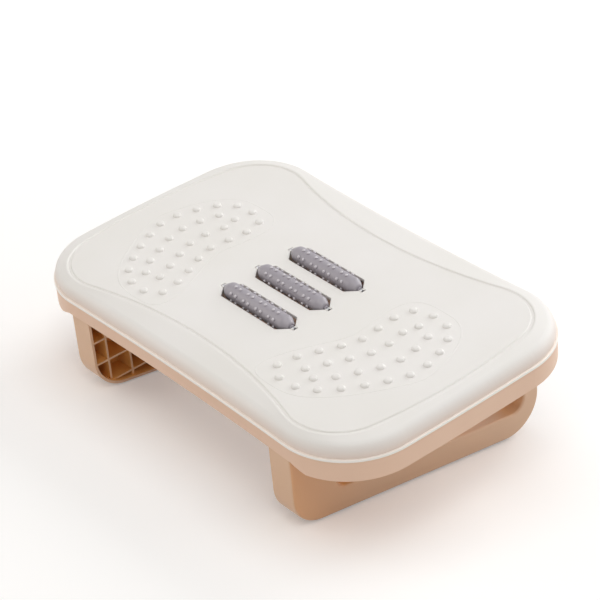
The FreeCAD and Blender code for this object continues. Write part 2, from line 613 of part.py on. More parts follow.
def make_cover():
    body = new_body("deck_cover")
    edge = sketch_on(body, "XY_Plane", "cover_lip_outline")
    bowed_loop(edge, PLATFORM)
    lip = pad(body, edge, "cover_lip", "edge_height")
    round_edges(body, lip, "cover_lip_rounding", "edge_round_top", level_at(size("edge_height")))
    outline = sketch_on(body, "XY_Plane", "cover_outline")
    bowed_loop(outline, PLATFORM, "edge_step")
    pad(body, outline, "cover_block", "cover_height-crown_drop")
    eaves = sketch_on(body, "XY_Plane", "crown_foot", "cover_height-crown_drop")
    bowed_loop(eaves, PLATFORM, "edge_step")
    panel = sketch_on_panel(body, "crown_top", "cover_height")
    bowed_loop(panel, PANEL)
    crown = body.newObject("PartDesign::AdditiveLoft", "cover_crown")
    crown.Profile = eaves
    crown.Sections = [panel]
    crown.Ruled = True
    round_edges(body, crown, "cover_shoulder", "shoulder_radius",
                level_at(size("cover_height-crown_drop")))

    rim = sketch_on(body, "XY_Plane", "rim_hollow_outline")
    bowed_loop(rim, PLATFORM, "edge_step+cover_wall")
    pocket(body, rim, "rim_hollow", "rim_pocket", reverse=True)
    middle = sketch_on(body, "XY_Plane", "middle_hollow_outline")
    bowed_loop(middle, PLATFORM, "rim_land")
    pocket(body, middle, "middle_hollow", "cover_height-crown_drop-crown_wall", reverse=True)
    deep = sketch_on_panel(body, "deep_hollow_outline")
    bowed_loop(deep, PANEL, "panel_land")
    pocket(body, deep, "deep_hollow", "cover_height-cover_top", reverse=True)

    slots = sketch_on(body, "XY_Plane", "roller_slot_outlines", "cover_height")
    for _, v in ROLLERS:
        front = "-slot_half_width+" + v
        back = "slot_half_width+" + v
        low = "-notch_half_width+" + v
        high = "notch_half_width+" + v
        polygon(slots, [("-slot_straight", front), ("slot_straight", front), ("slot_taper", low),
                        ("notch_end", low), ("notch_end", high), ("slot_taper", high),
                        ("slot_straight", back), ("-slot_straight", back), ("-slot_taper", high),
                        ("-notch_end", high), ("-notch_end", low), ("-slot_taper", low)],
                {corner: "slot_corner" for corner in (0, 1, 3, 4, 6, 7, 9, 10)})
    cut = pocket(body, slots, "roller_slots")
    round_edges(body, cut, "roller_slot_edges", "slot_edge", slot_rim_edge)

    line = sketch_on_panel(body, "groove_outline", "cover_height")
    bowed_loop(line, PANEL, "groove_land")
    bowed_loop(line, PANEL, "groove_land+groove_width")
    groove = pocket(body, line, "panel_groove", "groove_cut")
    slope_edges(body, groove, "groove_sides", "groove_slope", groove_edge)

    studs = sketch_on(body, "XY_Plane", "stud_outlines", "cover_height-cover_top")
    for side in (-1, 1):
        for x, v in stud_ring(side, "outer") + stud_ring(side, "inner"):
            round_stud = Part.Circle(FreeCAD.Vector(x, v, 0), FreeCAD.Vector(0, 0, 1), size("stud_radius"))
            geo = studs.addGeometry(round_stud, False)
            studs.addConstraint(Sketcher.Constraint("Block", geo))
    proud = pad(body, studs, "studs", "cover_top+stud_rise")
    domes = round_edges(body, proud, "stud_domes", "stud_round",
                        level_at(size("cover_height+stud_rise")))

    bosses = sketch_on(body, "XY_Plane", "cover_boss_outlines", "-tray_floor")
    for x, v in COVER_SCREWS:
        circle(bosses, "boss_radius", x, v)
    pad(body, bosses, "cover_bosses", "tray_floor+cover_height-cover_top")
    pilots = sketch_on(body, "XY_Plane", "cover_pilot_outlines", "-tray_floor")
    for x, v in COVER_SCREWS:
        circle(pilots, "screw_radius+fixed_fit", x, v)
    pocket(body, pilots, "cover_pilots", "screw_length", reverse=True)
    place(body)
    return body


# Tray

def make_tray():
    body = new_body("tray")
    outline = sketch_on(body, "XY_Plane", "tray_outline", "-tray_depth-apron_drop")
    bowed_loop(outline, PLATFORM, "tray_inset")
    pad(body, outline, "tray_block", "tray_depth+apron_drop")
    basin = sketch_on(body, "XY_Plane", "basin_outline")
    bowed_loop(basin, PLATFORM, "tray_inset+tray_wall")
    pocket(body, basin, "basin", "tray_floor")

    side_view = sketch_on(body, "XZ_Plane", "apron_profile")
    low = "-tray_depth-apron_drop"
    polygon(side_view, [("-apron_full", low), ("apron_full", low), ("apron_start", "-tray_depth"),
                        ("-apron_start", "-tray_depth")])
    pocket(body, side_view, "between_aprons", midplane=True)
    under = sketch_on(body, "XY_Plane", "apron_hollow_outline", low)
    bowed_loop(under, PLATFORM, "tray_inset+tray_wall")
    pocket(body, under, "apron_hollow", "apron_drop", reverse=True)

    seat = sketch_on(body, "XY_Plane", "cover_seat_outline", "-lip_rise")
    bowed_loop(seat, PLATFORM, "tray_inset")
    bowed_loop(seat, PLATFORM, "edge_step+cover_wall+lip_gap+lip_wall")
    pad(body, seat, "cover_seat", "lip_rise")
    lip = sketch_on(body, "XY_Plane", "locating_lip_outline")
    bowed_loop(lip, PLATFORM, "edge_step+cover_wall+lip_gap")
    bowed_loop(lip, PLATFORM, "edge_step+cover_wall+lip_gap+lip_wall")
    pad(body, lip, "locating_lip", "lip_rise")

    frame = sketch_on(body, "XY_Plane", "rib_frame_outline", "-tray_floor")
    rectangle(frame, "-tray_frame_x", "tray_frame_x", "-tray_frame_v", "tray_frame_v")
    rectangle(frame, "-tray_frame_x+rib_wall", "tray_frame_x-rib_wall",
              "-tray_frame_v+rib_wall", "tray_frame_v-rib_wall")
    pad(body, frame, "rib_frame", "tray_rib")

    saddles = sketch_on(body, "XY_Plane", "saddle_outlines", "-pivot_drop")
    for inner, outer in SADDLE_SPANS:
        rectangle(saddles, inner, outer, "-bearing_half_depth", "bearing_half_depth")
    pad(body, saddles, "pivot_saddles", "pivot_drop-tray_floor")
    bore = sketch_on(body, "YZ_Plane", "saddle_bore_outline")
    circle(bore, "pivot_radius+running_fit+pivot_bush+fixed_fit", None, "-pivot_drop")
    pocket(body, bore, "saddle_bores", midplane=True)
    clamps = sketch_on(body, "XY_Plane", "clamp_pilot_outlines", "-pivot_drop")
    for x, v in CLAMP_SCREWS:
        circle(clamps, "screw_radius+fixed_fit", x, v)
    pocket(body, clamps, "clamp_pilots", "clamp_length-clamp_flange", reverse=True)

    holes = sketch_on(body, "XY_Plane", "tray_screw_outlines", "-tray_floor")
    for x, v in COVER_SCREWS + CRADLE_SCREWS:
        circle(holes, "screw_radius+lip_gap", x, v)
    pocket(body, holes, "tray_screw_holes", "tray_wall")
    place(body)
    return body


# Rollers

def make_roller(name, v):
    roller = new_body(name + "_roller")
    profile = sketch_on(roller, "XY_Plane", name + "_roller_profile")
    neck_end = "roller_half_length+neck_length"
    right_half = [("barrel_half_length", "roller_radius"), ("roller_half_length", "roller_tip_radius"),
                  ("roller_half_length", "neck_radius"), (neck_end, "neck_radius"), (neck_end, None)]
    left_half = [("-" + x.replace("+", "-"), radius) for x, radius in reversed(right_half)]
    rounds = {3: "roller_tip_round", 4: "roller_end_round", 5: "roller_end_round",
              6: "roller_tip_round"}
    polygon(profile, left_half + right_half, rounds)
    revolve(roller, profile, name + "_barrel")
    nubs = sketch_on(roller, "XY_Plane", name + "_nub_outlines")
    nubs.AttachmentOffset = FreeCAD.Placement(FreeCAD.Vector(0, 0, 0),
                                              FreeCAD.Rotation(FreeCAD.Vector(1, 0, 0), 1))
    nubs.setExpression("AttachmentOffset.Rotation.Angle", cell(name + "_turn"))
    for middle in NUBS:
        circle(nubs, "nub_radius", middle)
    row = pad(roller, nubs, name + "_nubs", "roller_radius+nub_rise")
    turn = roller.newObject("PartDesign::PolarPattern", name + "_nub_rows")
    turn.Originals = [row]
    turn.Axis = (profile, ["H_Axis"])
    turn.Angle = 360.0
    roller.Tip = turn
    turn.setExpression("Occurrences", cell("nub_rows"))
    round_edges(roller, turn, name + "_nub_rounding", "nub_round", nub_top_edge)
    bore_along(roller, name + "_roller_bore", "axle_radius+running_fit", "-" + neck_end.replace("+", "-"),
               neck_end + "+" + neck_end, reverse=True)
    place(roller, None, v, "roller_axis")

    axle = new_body(name + "_roller_axle")
    rings(axle, name + "_axle_rod", ["axle_radius"], None, "axle_half_length+axle_half_length",
          midplane=True)
    place(axle, None, v, "roller_axis")
    return [roller, axle]


def nub_top_edge(edge):
    """The circle round the flat top of a nub."""
    return isinstance(edge.Curve, Part.Circle) and abs(edge.Curve.Radius - size("nub_radius")) < NEAR


def make_cradles():
    """The pair of stands whose posts reach into the slots' notches and hold the roller axles."""
    right = new_body("right_roller_cradle")
    wall = sketch_on(right, "YZ_Plane", "cradle_outline", "cradle_inner")
    front = "roller_middle-cradle_half_depth"
    back = "roller_middle+cradle_half_depth"
    rectangle(wall, front, back, "-tray_floor", "cover_height-cover_top-cradle_gap")
    pad(right, wall, "cradle_wall", "cradle_width")
    foot = sketch_on(right, "XY_Plane", "cradle_foot_outline", "-tray_floor")
    rectangle(foot, "cradle_inner", "cradle_inner+cradle_width+cradle_foot", front, back)
    pad(right, foot, "cradle_foot_flange", "cradle_foot_height")
    posts = sketch_on(right, "YZ_Plane", "cradle_post_outlines", "cradle_inner")
    for _, v in ROLLERS:
        rectangle(posts, v + "-notch_half_width+cradle_gap", v + "+notch_half_width-cradle_gap",
                  "-tray_floor", "cover_height-post_drop")
    pad(right, posts, "cradle_posts", "cradle_width")
    # The bore is open at the top, by less than the axle's width, so the axle snaps in.
    bores = sketch_on(right, "YZ_Plane", "cradle_bore_outlines", "cradle_inner")
    for _, v in ROLLERS:
        circle(bores, "axle_radius+fixed_fit", v, "roller_axis")
    pocket(right, bores, "cradle_bores", "cradle_width", reverse=True)
    pilots = sketch_on(right, "XY_Plane", "cradle_pilot_outlines", "-tray_floor")
    for x, v in CRADLE_SCREWS[:2]:
        circle(pilots, "screw_radius+fixed_fit", x, v)
    pocket(right, pilots, "cradle_pilots", "cradle_foot_height", reverse=True)
    place(right)
    return [right, mirrored_piece("left_roller_cradle", right)]


def make_screws(label, spots, seat, length):
    """Upright screws with their heads under the seat."""
    body = new_body(label)
    shanks = sketch_on(body, "XY_Plane", label + "_shank_outlines", seat)
    heads = sketch_on(body, "XY_Plane", label + "_head_outlines", seat)
    for x, v in spots:
        circle(shanks, "screw_radius", x, v)
        circle(heads, "screw_head_radius", x, v)
    pad(body, shanks, label + "_shanks", length)
    pad(body, heads, label + "_heads", "screw_head", reverse=True)
    for arm, along_x, along_v in (("first", "cross_arm", "cross_half_width"),
                                  ("second", "cross_half_width", "cross_arm")):
        cross = sketch_on(body, "XY_Plane", "%s_%s_cross_outline" % (label, arm), seat + "-screw_head")
        for x, v in spots:
            rectangle(cross, x + "-" + along_x, x + "+" + along_x, v + "-" + along_v, v + "+" + along_v)
        pocket(body, cross, "%s_%s_cross_arm" % (label, arm), "cross_depth", reverse=True)
    place(body)
    return [body]


# Tilt pivot

def make_pivot():
    shaft = new_body("pivot_shaft")
    half = "leg_inner+shaft_engage"
    rings(shaft, "shaft_rod", ["pivot_radius"], None, half + "+" + half, midplane=True)
    for side, start, reverse in (("right", half, False), ("left", "-leg_inner-shaft_engage", True)):
        bore_along(shaft, side + "_tapped_hole", "pivot_bolt_radius+fixed_fit", start,
                   "pivot_bolt_length", reverse)
    place(shaft, None, None, "-pivot_drop")

    bush = new_body("right_pivot_bush")
    rings(bush, "bush_ring", ["pivot_radius+running_fit+pivot_bush", "pivot_radius+running_fit"],
          "bearing_inner", "bearing_width")
    place(bush, None, None, "-pivot_drop")

    cap = new_body("right_pivot_cap")
    rings(cap, "cap_barrel", ["bearing_radius"], "bearing_inner", "bearing_width")
    flanges = sketch_on(cap, "YZ_Plane", "cap_flange_outline", "bearing_inner")
    rectangle(flanges, "-bearing_half_depth", "bearing_half_depth", "-clamp_flange", None)
    pad(cap, flanges, "cap_flanges", "bearing_width")
    upper = sketch_on(cap, "YZ_Plane", "cap_parting_outline", "bearing_inner")
    rectangle(upper, "-bearing_half_depth", "bearing_half_depth", None, "bearing_half_depth")
    pocket(cap, upper, "cap_parting", "bearing_width", reverse=True)
    bore_along(cap, "cap_bore", "pivot_radius+running_fit+pivot_bush+fixed_fit", "bearing_inner",
               "bearing_width", reverse=True)
    holes = sketch_on(cap, "XY_Plane", "cap_screw_outlines", "-clamp_flange")
    for x, v in CLAMP_SCREWS[:2]:
        circle(holes, "screw_radius+lip_gap", x, v)
    pocket(cap, holes, "cap_screw_holes", "clamp_flange", reverse=True)
    place(cap, None, None, "-pivot_drop")

    washer = new_body("right_friction_washer")
    rings(washer, "washer_ring", ["washer_radius", "pivot_radius+running_fit"],
          "bearing_inner+bearing_width+running_fit", "leg_inner-bearing_inner-bearing_width-running_fit")
    place(washer, None, None, "-pivot_drop")

    bolt = new_body("right_pivot_bolt")
    seat = "leg_inner+shaft_engage+end_web"
    rings(bolt, "bolt_shank", ["pivot_bolt_radius"], seat, "pivot_bolt_length", reverse=True)
    rings(bolt, "bolt_head", ["pivot_head_radius"], seat, "pivot_bolt_head")
    place(bolt, None, None, "-pivot_drop")

    cover = new_body("right_bolt_cover")
    rings(cover, "cover_disc", ["plug_flange"], "leg_outer", "plug_cap")
    rings(cover, "cover_rim", ["recess_radius-fixed_fit", "recess_radius-fixed_fit-plug_wall"],
          "leg_outer", "plug_depth", reverse=True)
    place(cover, None, None, "-pivot_drop")

    pieces = [shaft]
    for right in (bush, cap, washer, bolt, cover):
        pieces += [right, mirrored_piece(right.Label.replace("right", "left"), right)]
    return pieces


# Legs

LEG_OUTLINE = [("-leg_front", "-leg_sole_front"), ("leg_back", "-leg_sole_back"),
               ("leg_back", "-leg_head_back"), (None, "-leg_head"), ("-leg_front", "-leg_head")]
LEG_INSIDE = [("-leg_front+leg_wall", "-leg_sole_front+leg_wall"),
              ("leg_back-leg_wall", "-leg_sole_back+leg_wall"),
              ("leg_back-leg_wall", "-leg_head_back-leg_wall"), (None, "-leg_head-leg_wall"),
              ("-leg_front+leg_wall", "-leg_head-leg_wall")]
WINDOW = [("-window_front", "-sill_front"), ("window_back", "-sill_back"),
          ("window_back", "-window_head"), ("-window_front", "-window_head")]
WINDOW_RIM = [("-window_front-leg_wall", "-sill_front-leg_wall"),
              ("window_back+leg_wall", "-sill_back-leg_wall"),
              ("window_back+leg_wall", "-window_head+leg_wall"),
              ("-window_front-leg_wall", "-window_head+leg_wall")]
FRONT_STOP = [("-stop_front_far", "-leg_head-stop_sink"), ("-stop_front", "-leg_head-stop_sink"),
              ("-stop_front", "-tray_depth"), ("-stop_front_far", "-tray_depth")]
BACK_STOP = [("stop_back", "-stop_near_head-stop_sink"), ("stop_back_far", "-stop_far_head-stop_sink"),
             ("stop_back_far", "-stop_far_head+stop_back_rise"),
             ("stop_back", "-stop_near_head+stop_back_rise")]


def outer_face_edge(edge):
    """Edges in the leg's outer face."""
    box = edge.BoundBox
    return abs(box.XMin - size("leg_outer")) < NEAR and abs(box.XMax - size("leg_outer")) < NEAR


def make_leg():
    leg = new_body("right_leg")
    bottom_corners = {0: "leg_corner", 1: "leg_corner"}
    window_corners = {0: "window_nose", 1: "window_corner", 2: "window_corner", 3: "window_nose"}
    rim_corners = {corner: radius + "+leg_wall" for corner, radius in window_corners.items()}
    depth = "leg_width-leg_wall"
    skin = sketch_on(leg, "YZ_Plane", "leg_skin_outline", "leg_outer")
    polygon(skin, LEG_OUTLINE, bottom_corners)
    polygon(skin, WINDOW, window_corners)
    plate = pad(leg, skin, "leg_skin", "leg_wall", reverse=True)
    round_edges(leg, plate, "leg_edge_rounding", "edge_round", outer_face_edge)
    wall = sketch_on(leg, "YZ_Plane", "leg_wall_outline", "leg_inner")
    polygon(wall, LEG_OUTLINE, bottom_corners)
    polygon(wall, LEG_INSIDE, {0: "leg_corner-leg_wall", 1: "leg_corner-leg_wall"})
    pad(leg, wall, "leg_wall_ring", depth)

    upright = sketch_on(leg, "YZ_Plane", "upright_rib_outline", "leg_inner+rib_back")
    rectangle(upright, "-rib_phase", "-rib_phase+rib_wall", "-leg_sole_back", "-leg_head")
    first = pad(leg, upright, "upright_rib", depth + "-rib_back")
    row_of(leg, first, "upright_ribs", (upright, ["H_Axis"]), "rib_pitch", "rib_columns")
    level = sketch_on(leg, "YZ_Plane", "level_rib_outline", "leg_inner+rib_back")
    rectangle(level, "-leg_front", "leg_back", "-rib_first_row-rib_wall", "-rib_first_row")
    first = pad(leg, level, "level_rib", depth + "-rib_back")
    row_of(leg, first, "level_ribs", (level, ["V_Axis"]), "rib_pitch", "rib_rows", reverse=True)
    trim = sketch_on(leg, "YZ_Plane", "rib_trim_outline", "leg_inner")
    rectangle(trim, "-leg_front-leg_back", "leg_back+leg_back", "-leg_sole_back-leg_back", "leg_back")
    polygon(trim, LEG_OUTLINE, bottom_corners)
    pocket(leg, trim, "rib_trim", depth, reverse=True)

    rim = sketch_on(leg, "YZ_Plane", "window_rim_outline", "leg_inner")
    polygon(rim, WINDOW_RIM, rim_corners)
    pad(leg, rim, "window_rim", depth)
    for name, radius, v, w in (("pivot_boss", "pivot_radius+fixed_fit+boss_wall", None, "-pivot_drop"),
                               ("tie_boss", "tie_radius+fixed_fit+leg_wall", "tie_back", "-tie_drop")):
        rings(leg, name, [radius], "leg_inner", depth, v=v, w=w)
    opening = sketch_on(leg, "YZ_Plane", "window_outline", "leg_inner")
    polygon(opening, WINDOW, window_corners)
    pocket(leg, opening, "window", depth, reverse=True)

    bore_along(leg, "shaft_socket", "pivot_radius+fixed_fit", "leg_inner", "shaft_engage", True,
               w="-pivot_drop")
    bore_along(leg, "pivot_bolt_hole", "pivot_bolt_radius+lip_gap", "leg_inner", "leg_width", True,
               w="-pivot_drop")
    bore_along(leg, "pivot_bolt_recess", "recess_radius", "leg_outer",
               "leg_width-shaft_engage-end_web", w="-pivot_drop")
    bore_along(leg, "tie_socket_bore", "tie_radius+fixed_fit", "leg_inner", "tie_socket", True,
               v="tie_back", w="-tie_drop")
    screw = sketch_on(leg, "XY_Plane", "tie_screw_hole_outline", "-tie_sole-foot_height")
    circle(screw, "screw_radius+lip_gap", "leg_inner+tie_screw_in", "tie_back")
    pocket(leg, screw, "tie_screw_hole", "tie_above", reverse=True)
    recess = sketch_on(leg, "XY_Plane", "tie_screw_recess_outline", "-tie_sole-foot_height")
    circle(recess, "screw_head_radius+lip_gap", "leg_inner+tie_screw_in", "tie_back")
    pocket(leg, recess, "tie_screw_recess", "foot_height+screw_head+tie_recess", reverse=True)
    for name, profile in (("front_stop_recess", FRONT_STOP), ("back_stop_recess", BACK_STOP)):
        cut = sketch_on(leg, "YZ_Plane", name + "_outline", "leg_inner+stop_inset")
        polygon(cut, profile)
        pocket(leg, cut, name, "leg_width-stop_inset-stop_inset", reverse=True)
    place(leg)
    return [leg, mirrored_piece("left_leg", leg)]


def make_base_fittings():
    tie = new_body("cross_tie")
    half = "leg_inner+tie_socket"
    rings(tie, "tie_tube", ["tie_radius", "tie_radius-tie_wall"], None, half + "+" + half,
          midplane=True)
    holes = sketch_on(tie, "XY_Plane", "tie_hole_outlines")
    for x in ("leg_inner+tie_screw_in", "-leg_inner-tie_screw_in"):
        circle(holes, "screw_radius+fixed_fit", x)
    pocket(tie, holes, "tie_holes", "tie_radius")
    place(tie, None, "tie_back", "-tie_drop")

    spots = [("leg_inner+tie_screw_in", "tie_back"), ("-leg_inner-tie_screw_in", "tie_back")]
    screws = make_screws("tie_screws", spots, "-tie_sole+screw_head+tie_recess", "tie_screw_length")

    pads = []
    for label, profile in (("front_stop_pads", FRONT_STOP), ("back_stop_pads", BACK_STOP)):
        stop = new_body(label)
        outline = sketch_on(stop, "YZ_Plane", label + "_outline", "leg_inner+stop_inset")
        polygon(outline, profile)
        block = pad(stop, outline, label + "_block", "leg_width-stop_inset-stop_inset")
        mirror_feature(stop, block, label + "_pair")
        place(stop)
        pads.append(stop)

    feet = []
    for where, y in (("front", "foot_front_y"), ("rear", "foot_back_y")):
        foot = new_body("right_%s_foot" % where)
        outline = sketch_on(foot, "XY_Plane", where + "_foot_outline")
        polygon(outline, [("-foot_half_width", "-foot_half_length"), ("foot_half_width", "-foot_half_length"),
                          ("foot_half_width", "foot_half_length"), ("-foot_half_width", "foot_half_length")],
                {corner: "foot_corner" for corner in range(4)})
        pad(foot, outline, where + "_foot_block", "foot_height")
        foot.setExpression("Placement.Base.x", cell("leg_middle"))
        foot.setExpression("Placement.Base.y", cell(y))
        feet += [foot, mirrored_piece("left_%s_foot" % where, foot)]
    return [tie] + screws + pads + feet


NODES = [make_cover(), make_tray()]
for which, at in ROLLERS:
    NODES += make_roller(which, at)
NODES += make_cradles()
NODES += make_screws("cover_screws", COVER_SCREWS, "-tray_depth", "screw_length")
NODES += make_screws("cradle_screws", CRADLE_SCREWS, "-tray_depth", "screw_length")
NODES += make_screws("clamp_screws", CLAMP_SCREWS, "-clamp_seat", "clamp_length")
NODES += make_pivot()
NODES += make_leg()
NODES += make_base_fittings()
DOC.recompute()

for obj in DOC.Objects:
    if "Invalid" in obj.State or "Error" in obj.State:
        raise RuntimeError("%s did not build: %s" % (obj.Label, obj.State))
for node in NODES:
    if node.Shape.isNull() or not node.Shape.isValid() or not node.Shape.Solids:
        raise RuntimeError("%s has no valid solid" % node.Label)

os.makedirs("parts", exist_ok=True)
for node in NODES:
    node.Shape.exportStep("parts/%s.step" % node.Label)
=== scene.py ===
# %% [markdown]
# # Tilting footrest
# A moulded footrest stands on a pale floor. It has a cream platform with massage studs and three
# grey rollers, a tan rim under it and two tan side legs. The CAD model holds every part that moves
# or carries load, so this lesson adds the finish of each surface, a faint raised line round each
# field of studs, and a soft studio with a camera. Lengths are metres, colours are written as sRGB.

# %% Load the CAD model
import json
import math

import bpy
import numpy as np
from mathutils import Matrix, Vector


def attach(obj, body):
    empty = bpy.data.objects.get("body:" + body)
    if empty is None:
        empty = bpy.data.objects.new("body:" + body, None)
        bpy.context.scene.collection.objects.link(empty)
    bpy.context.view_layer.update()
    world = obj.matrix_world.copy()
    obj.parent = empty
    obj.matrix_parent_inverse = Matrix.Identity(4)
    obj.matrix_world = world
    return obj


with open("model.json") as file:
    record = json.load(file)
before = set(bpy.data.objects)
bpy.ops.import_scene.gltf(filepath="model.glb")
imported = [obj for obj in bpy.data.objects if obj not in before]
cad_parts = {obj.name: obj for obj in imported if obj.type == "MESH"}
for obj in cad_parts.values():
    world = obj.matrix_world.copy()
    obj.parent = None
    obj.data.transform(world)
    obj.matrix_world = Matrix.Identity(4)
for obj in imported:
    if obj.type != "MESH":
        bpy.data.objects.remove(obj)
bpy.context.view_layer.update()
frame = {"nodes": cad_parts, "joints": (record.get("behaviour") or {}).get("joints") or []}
NODES = frame["nodes"]
SCENE = bpy.context.scene
print("CAD nodes:", len(NODES))


# %% [markdown]
# ## The platform's own frame
# Shapes and finishes of the platform are described in its own frame, which leans back by ten
# degrees about the tilt axle. x runs along the platform, v across it towards the raised edge, and
# w square to its top. The first joint in the CAD record gives the axle and the lean, so neither is
# typed twice. The other joints are those of the rollers.

# %% The platform's own frame
TILT, *ROLLER_SPINS = frame["joints"]
LEAN = math.radians(-TILT["range_deg"][0])
AXLE = np.array(TILT["pos_m"])
AXLE_BELOW_SEAM = 0.032


def on_platform(x, v, w):
    """Points given in the platform's frame, turned by the lean about X and set over the axle."""
    x, v, w = np.broadcast_arrays(x, v, w)
    above = w + AXLE_BELOW_SEAM
    y = AXLE[1] + v * math.cos(LEAN) - above * math.sin(LEAN)
    z = AXLE[2] + v * math.sin(LEAN) + above * math.cos(LEAN)
    return np.stack([x + AXLE[0], y, z], axis=-1)


CENTRE = Vector(on_platform(0.0, 0.0, 0.0))
PLATFORM_NORMAL = (0.0, -math.sin(LEAN), math.cos(LEAN))
print("lean", round(math.degrees(LEAN), 2), "degrees, seam centre at", [round(c, 4) for c in CENTRE])


# %% [markdown]
# ## Camera
# The picture is taken from above the front right corner with a long lens, so lines stay nearly
# parallel. A camera could be turned by angles or made to track an empty. Here its matrix is built
# from three directions, right, up and back, because that shows where it looks and how it rolls. A
# camera in Blender looks along its own -Z.

# %% Camera
CAMERA_AZIMUTH = math.radians(48.28)
CAMERA_ELEVATION = math.radians(27.92)
CAMERA_ROLL = math.radians(3.27)
CAMERA_DISTANCE = 2.0055
LENS_MM = 135.26
AIM_RIGHT = 0.0021
AIM_UP = 0.0014
SIGHT_END = 50.0


def look_at(aim, azimuth, elevation, roll, distance):
    """A camera matrix: back points from the aim to the lens, and right and up turn by the roll."""
    back = Vector((math.sin(azimuth) * math.cos(elevation), -math.cos(azimuth) * math.cos(elevation),
                   math.sin(elevation)))
    level = Vector((0, 0, 1)).cross(back).normalized()
    upright = back.cross(level)
    right = level * math.cos(roll) + upright * math.sin(roll)
    up = upright * math.cos(roll) - level * math.sin(roll)
    place = aim + back * distance + right * AIM_RIGHT + up * AIM_UP
    columns = Matrix((right, up, back)).transposed().to_4x4()
    return Matrix.Translation(place) @ columns


camera_data = bpy.data.cameras.new("camera")
camera_data.lens = LENS_MM
camera_data.clip_end = SIGHT_END
camera = bpy.data.objects.new("camera", camera_data)
camera.matrix_world = look_at(CENTRE, CAMERA_AZIMUTH, CAMERA_ELEVATION, CAMERA_ROLL, CAMERA_DISTANCE)
SCENE.collection.objects.link(camera)
SCENE.camera = camera
print("camera at", [round(c, 3) for c in camera.matrix_world.translation])


# %% [markdown]
# ## Studio
# Pale plastic shows its form only through soft shading. One lamp would leave hard shadows, and a
# white world alone would leave no form, so five large area lamps do the work. A slightly cool one
# overhead and a neutral pair behind light the panel. Two warm ones in front fill the near sides.

# %% Lamps
OBJECT_MIDDLE = (0, 0, 0.1)
NEUTRAL = (1.0, 1.0, 1.0)
WARM = (1.0, 0.93, 0.86)
COOL = (0.97, 0.985, 1.0)

# Each lamp: its name, place, width, power in watts and colour.
LAMPS = (
    ("overhead_lamp", (0, 0, 2.0), 1.6, 11.2, COOL),
    ("back_lamp", (0, 1.8, 1.2), 1.2, 16.4, NEUTRAL),
    ("back_right_lamp", (1.3, 1.3, 1.2), 1.2, 5.4, NEUTRAL),
    ("front_left_lamp", (-1.3, -1.3, 0.9), 1.2, 6.4, WARM),
    ("near_lamp", (1.2, -1.4, 2.6), 1.2, 18.0, WARM),
)


def area_lamp(name, place, width, watts, colour):
    """A square area lamp whose -Z axis points from its place to the object's middle."""
    data = bpy.data.lights.new(name, "AREA")
    data.shape = "SQUARE"
    data.size = width
    data.energy = watts
    data.color = colour
    lamp = bpy.data.objects.new(name, data)
    lamp.location = place
    lamp.rotation_euler = (Vector(OBJECT_MIDDLE) - Vector(place)).to_track_quat("-Z", "Y").to_euler()
    SCENE.collection.objects.link(lamp)


SCENE.view_settings.view_transform = "Standard"
for lamp_row in LAMPS:
    area_lamp(*lamp_row)
print("lamps:", len(LAMPS))


# %% [markdown]
# ## Nodes
# Materials and the world are made of nodes. Each node is a few lines of Python: make it, set it,
# join it. One small class does these three in one call, so that the cells below read like the
# list of nodes that they build.

# %% Board of nodes
class NodeBoard:
    """The nodes of one material or world, emptied first, with short calls to add and join them."""

    def __init__(self, owner):
        owner.use_nodes = True
        self.tree = owner.node_tree
        self.tree.nodes.clear()

    def feed(self, socket, value):
        """Join another node's output to an input, or set the input to a plain value."""
        if isinstance(value, bpy.types.NodeSocket):
            self.tree.links.new(value, socket)
        else:
            socket.default_value = value

    def add(self, kind, feeds, **settings):
        """A new node. Feeds say what goes into its inputs, each by name or number."""
        node = self.tree.nodes.new("ShaderNode" + kind)
        for setting, choice in settings.items():
            setattr(node, setting, choice)
        for socket, value in feeds.items():
            self.feed(node.inputs[socket], value)
        return node

    def work_out(self, operation, *numbers):
        """The result of a Math node."""
        return self.add("Math", dict(enumerate(numbers)), operation=operation).outputs["Value"]

    def work_out_vector(self, operation, result, *vectors):
        """The result of a Vector Math node: Vector, or Value for a length or a dot product."""
        return self.add("VectorMath", dict(enumerate(vectors)), operation=operation).outputs[result]

    def levels(self, value, low, high, to_low=0.0, to_high=1.0, curve="LINEAR"):
        """Stretch a value from low..high to to_low..to_high, held at both ends."""
        feeds = {"Value": value, "From Min": low, "From Max": high, "To Min": to_low, "To Max": to_high}
        return self.add("MapRange", feeds, interpolation_type=curve).outputs["Result"]

    def seen_rays(self):
        """1 for rays from the camera, from a mirror or through glass, 0 for rays that carry light."""
        path = self.add("LightPath", {})
        seen = path.outputs["Is Camera Ray"]
        for kind in ("Is Glossy Ray", "Is Transmission Ray"):
            seen = self.work_out("MAXIMUM", seen, path.outputs[kind])
        return seen


print("node calls:", [call for call in vars(NodeBoard) if not call.startswith("_")])


# %% [markdown]
# ## World
# The background of the picture is white, but a white world would flood the object with light. So
# the world has two backgrounds: plain white for rays that are seen, and a dim warm one for rays that
# carry light.

# %% World
WHITE = (1.0, 1.0, 1.0, 1.0)
WORLD_LIGHT = (1.0, 0.985, 0.96, 1.0)
WORLD_STRENGTH = 0.32

world = bpy.data.worlds.new("studio_world")
SCENE.world = world
sky = NodeBoard(world)
lighting = sky.add("Background", {"Color": WORLD_LIGHT, "Strength": WORLD_STRENGTH})
white_sky = sky.add("Background", {"Color": WHITE, "Strength": 1.0})
pick = sky.add("MixShader", {0: sky.seen_rays(), 1: lighting.outputs[0], 2: white_sky.outputs[0]})
sky.add("OutputWorld", {"Surface": pick.outputs[0]})
print("world strength for light:", WORLD_STRENGTH)


# %% [markdown]
# ## Floor
# The floor is pale paper. It also glows a little, but only for rays that are seen, so it looks
# nearly white without lighting the object. The glow grows with distance: near the feet it leaves
# the shadow its shape, and far away the floor joins the white background without a line.

